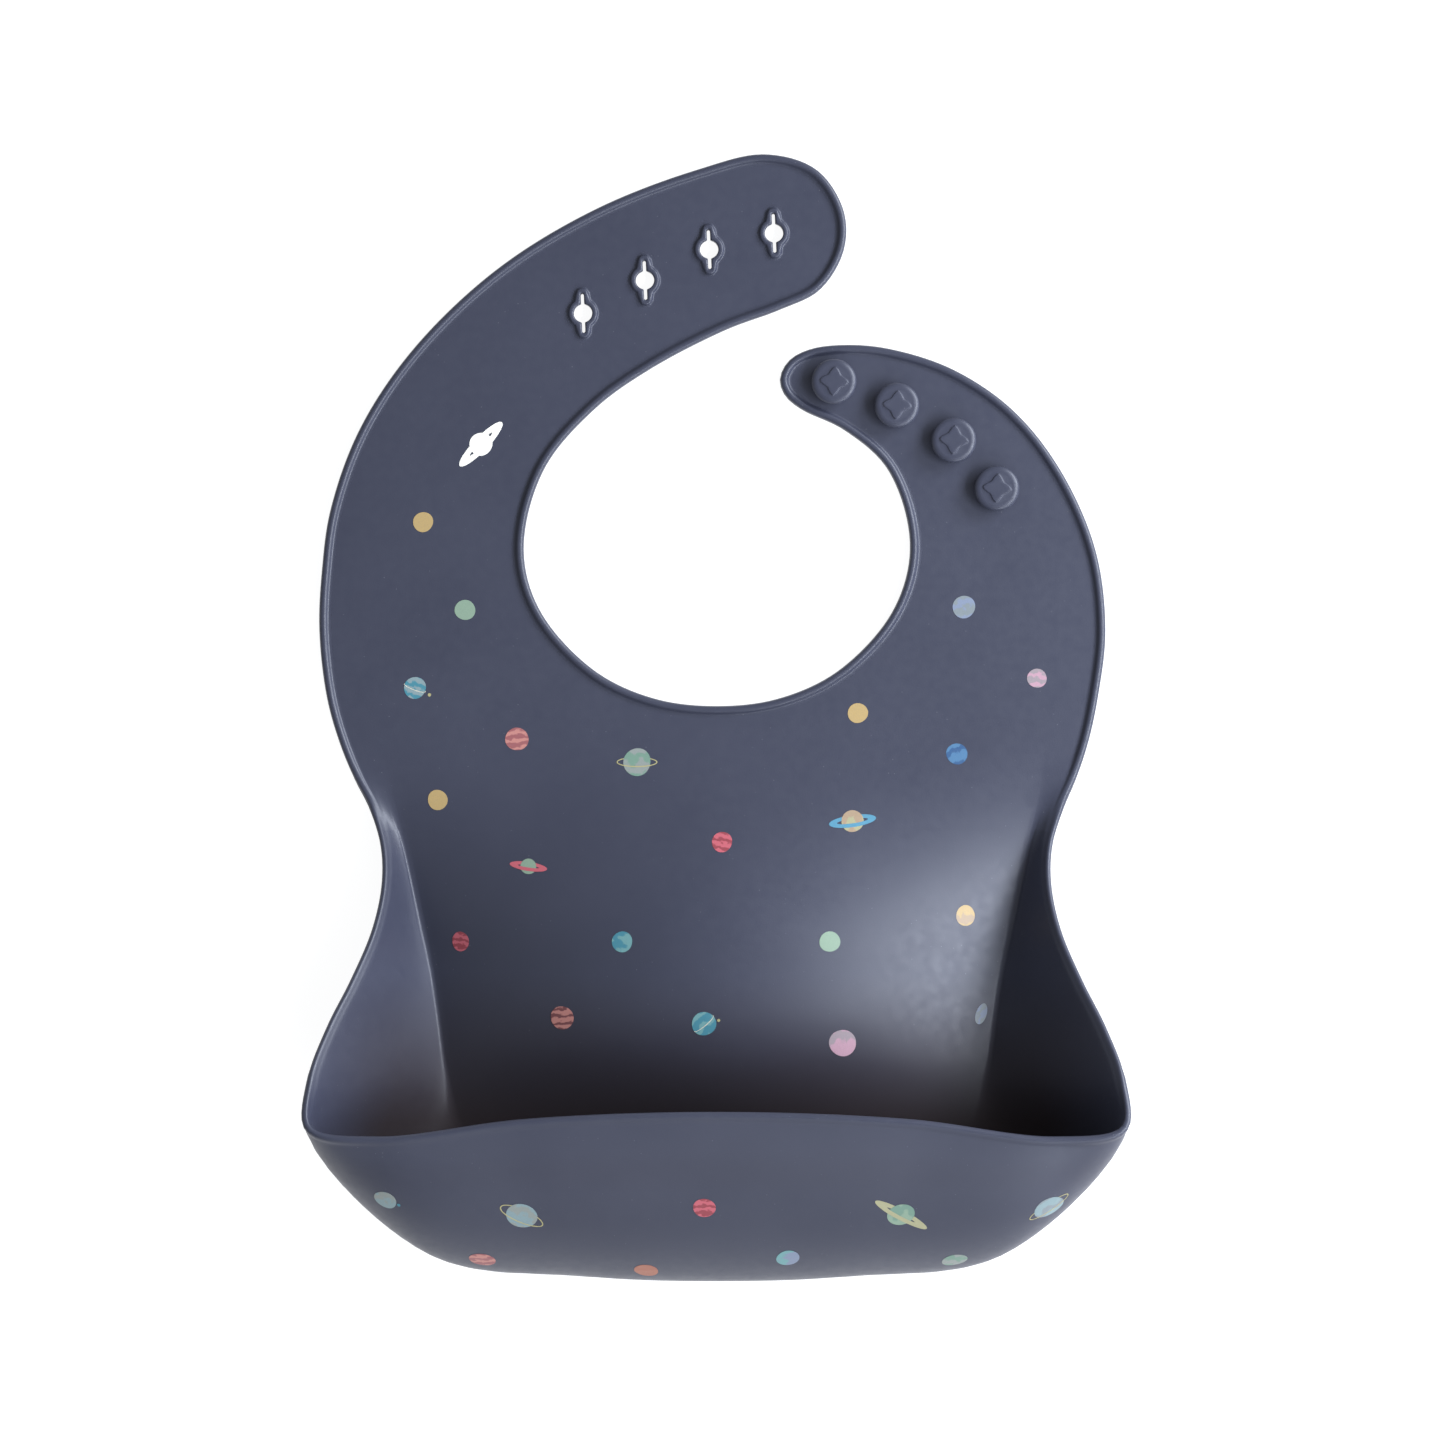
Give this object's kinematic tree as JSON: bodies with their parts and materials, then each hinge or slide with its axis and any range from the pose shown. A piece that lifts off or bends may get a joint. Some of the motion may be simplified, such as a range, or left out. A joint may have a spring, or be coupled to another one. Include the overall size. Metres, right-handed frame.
{
  "type": "silicone bib",
  "caption": "Moulded silicone baby bib: a chest panel with a scoop pocket along its front, and two neck straps that button with mushroom studs through keyholes.",
  "frame": {"origin": "middle of the bib's outline, on the surface that it lies on", "axes": "+Y from the pocket toward the neck straps, +Z out of the front of the bib, +X to the right as seen from the front"},
  "size_m": [0.2182, 0.3029, 0.0479],
  "materials": {
    "silicone": "satin, slightly powdery moulded silicone"
  },
  "bodies": {
    "root": {"chest_panel": "silicone", "pocket_heel": "silicone", "pocket_left_side": "silicone", "pocket_right_side": "silicone", "pocket_left_lip": "silicone", "pocket_right_lip": "silicone", "pocket_front_flex": "silicone", "chest_flex": "silicone"},
    "pocket_front": {"pocket_front_wall": "silicone", "pocket_front_lip": "silicone"},
    "yoke": {"neck_yoke": "silicone", "keyhole_strap_flex_1": "silicone", "stud_strap_flex_1": "silicone"},
    "keyhole_strap_1": {"keyhole_strap_base": "silicone", "keyhole_strap_flex_2": "silicone"},
    "keyhole_strap_2": {"keyhole_strap_middle": "silicone", "keyhole_strap_flex_3": "silicone"},
    "keyhole_strap_3": {"keyhole_strap_shoulder": "silicone", "keyhole_collar_1": "silicone", "keyhole_collar_2": "silicone", "keyhole_strap_flex_4": "silicone"},
    "keyhole_strap_4": {"keyhole_strap_tip": "silicone", "keyhole_collar_3": "silicone", "keyhole_collar_4": "silicone"},
    "stud_strap_1": {"stud_strap_base": "silicone", "stud_strap_flex_2": "silicone"},
    "stud_strap_2": {"stud_strap_middle": "silicone", "stud_3": "silicone", "stud_4": "silicone", "stud_strap_flex_3": "silicone"},
    "stud_strap_3": {"stud_strap_tip": "silicone", "stud_1": "silicone", "stud_2": "silicone"}
  },
  "joints": [
    {"name": "pocket_front_flex", "type": "hinge", "parent": "root", "child": "pocket_front", "pos_m": [0, -0.147, 0.0105], "axis": [1, 0, 0], "range_deg": [-15, 20], "stiffness_Nm_per_rad": 0.6, "deforming": ["pocket_front_flex"]},
    {"name": "chest_fold", "type": "hinge", "parent": "root", "child": "yoke", "pos_m": [0, -0.01, 0.001], "axis": [1, 0, 0], "range_deg": [-60, 120], "stiffness_Nm_per_rad": 0.01, "deforming": ["chest_flex"]},
    {"name": "keyhole_strap_curl_1", "type": "hinge", "parent": "yoke", "child": "keyhole_strap_1", "pos_m": [-0.0793, 0.0375, 0.001], "axis": [-0.9877, -0.1564, 0], "range_deg": [-12, 30], "stiffness_Nm_per_rad": 0.003, "deforming": ["keyhole_strap_flex_1"]},
    {"name": "keyhole_strap_curl_2", "type": "hinge", "parent": "keyhole_strap_1", "child": "keyhole_strap_2", "pos_m": [-0.0665, 0.0807, 0.001], "axis": [-0.9455, 0.3256, 0], "range_deg": [-12, 30], "stiffness_Nm_per_rad": 0.003, "deforming": ["keyhole_strap_flex_2"]},
    {"name": "keyhole_strap_curl_3", "type": "hinge", "parent": "keyhole_strap_2", "child": "keyhole_strap_3", "pos_m": [-0.0485, 0.1005, 0.001], "axis": [-0.7547, 0.6561, 0], "range_deg": [-12, 30], "stiffness_Nm_per_rad": 0.003, "deforming": ["keyhole_strap_flex_3"]},
    {"name": "keyhole_strap_curl_4", "type": "hinge", "parent": "keyhole_strap_3", "child": "keyhole_strap_4", "pos_m": [-0.0107, 0.1225, 0.001], "axis": [-0.4384, 0.8988, 0], "range_deg": [-12, 30], "stiffness_Nm_per_rad": 0.003, "deforming": ["keyhole_strap_flex_4"]},
    {"name": "stud_strap_curl_1", "type": "hinge", "parent": "yoke", "child": "stud_strap_1", "pos_m": [0.076, 0.022, 0.001], "axis": [-1, 0, 0], "range_deg": [-12, 30], "stiffness_Nm_per_rad": 0.003, "deforming": ["stud_strap_flex_1"]},
    {"name": "stud_strap_curl_2", "type": "hinge", "parent": "stud_strap_1", "child": "stud_strap_2", "pos_m": [0.077, 0.045, 0.001], "axis": [-1, 0, 0], "range_deg": [-12, 30], "stiffness_Nm_per_rad": 0.003, "deforming": ["stud_strap_flex_2"]},
    {"name": "stud_strap_curl_3", "type": "hinge", "parent": "stud_strap_2", "child": "stud_strap_3", "pos_m": [0.0562, 0.0797, 0.001], "axis": [-0.5225, -0.8526, 0], "range_deg": [-12, 30], "stiffness_Nm_per_rad": 0.003, "deforming": ["stud_strap_flex_3"]}
  ],
  "couplings": [
    {"joint": "keyhole_strap_curl_2", "follows": "keyhole_strap_curl_1", "ratio": 1},
    {"joint": "keyhole_strap_curl_3", "follows": "keyhole_strap_curl_1", "ratio": 1},
    {"joint": "keyhole_strap_curl_4", "follows": "keyhole_strap_curl_1", "ratio": 1},
    {"joint": "stud_strap_curl_2", "follows": "stud_strap_curl_1", "ratio": 1},
    {"joint": "stud_strap_curl_3", "follows": "stud_strap_curl_1", "ratio": 1}
  ]
}
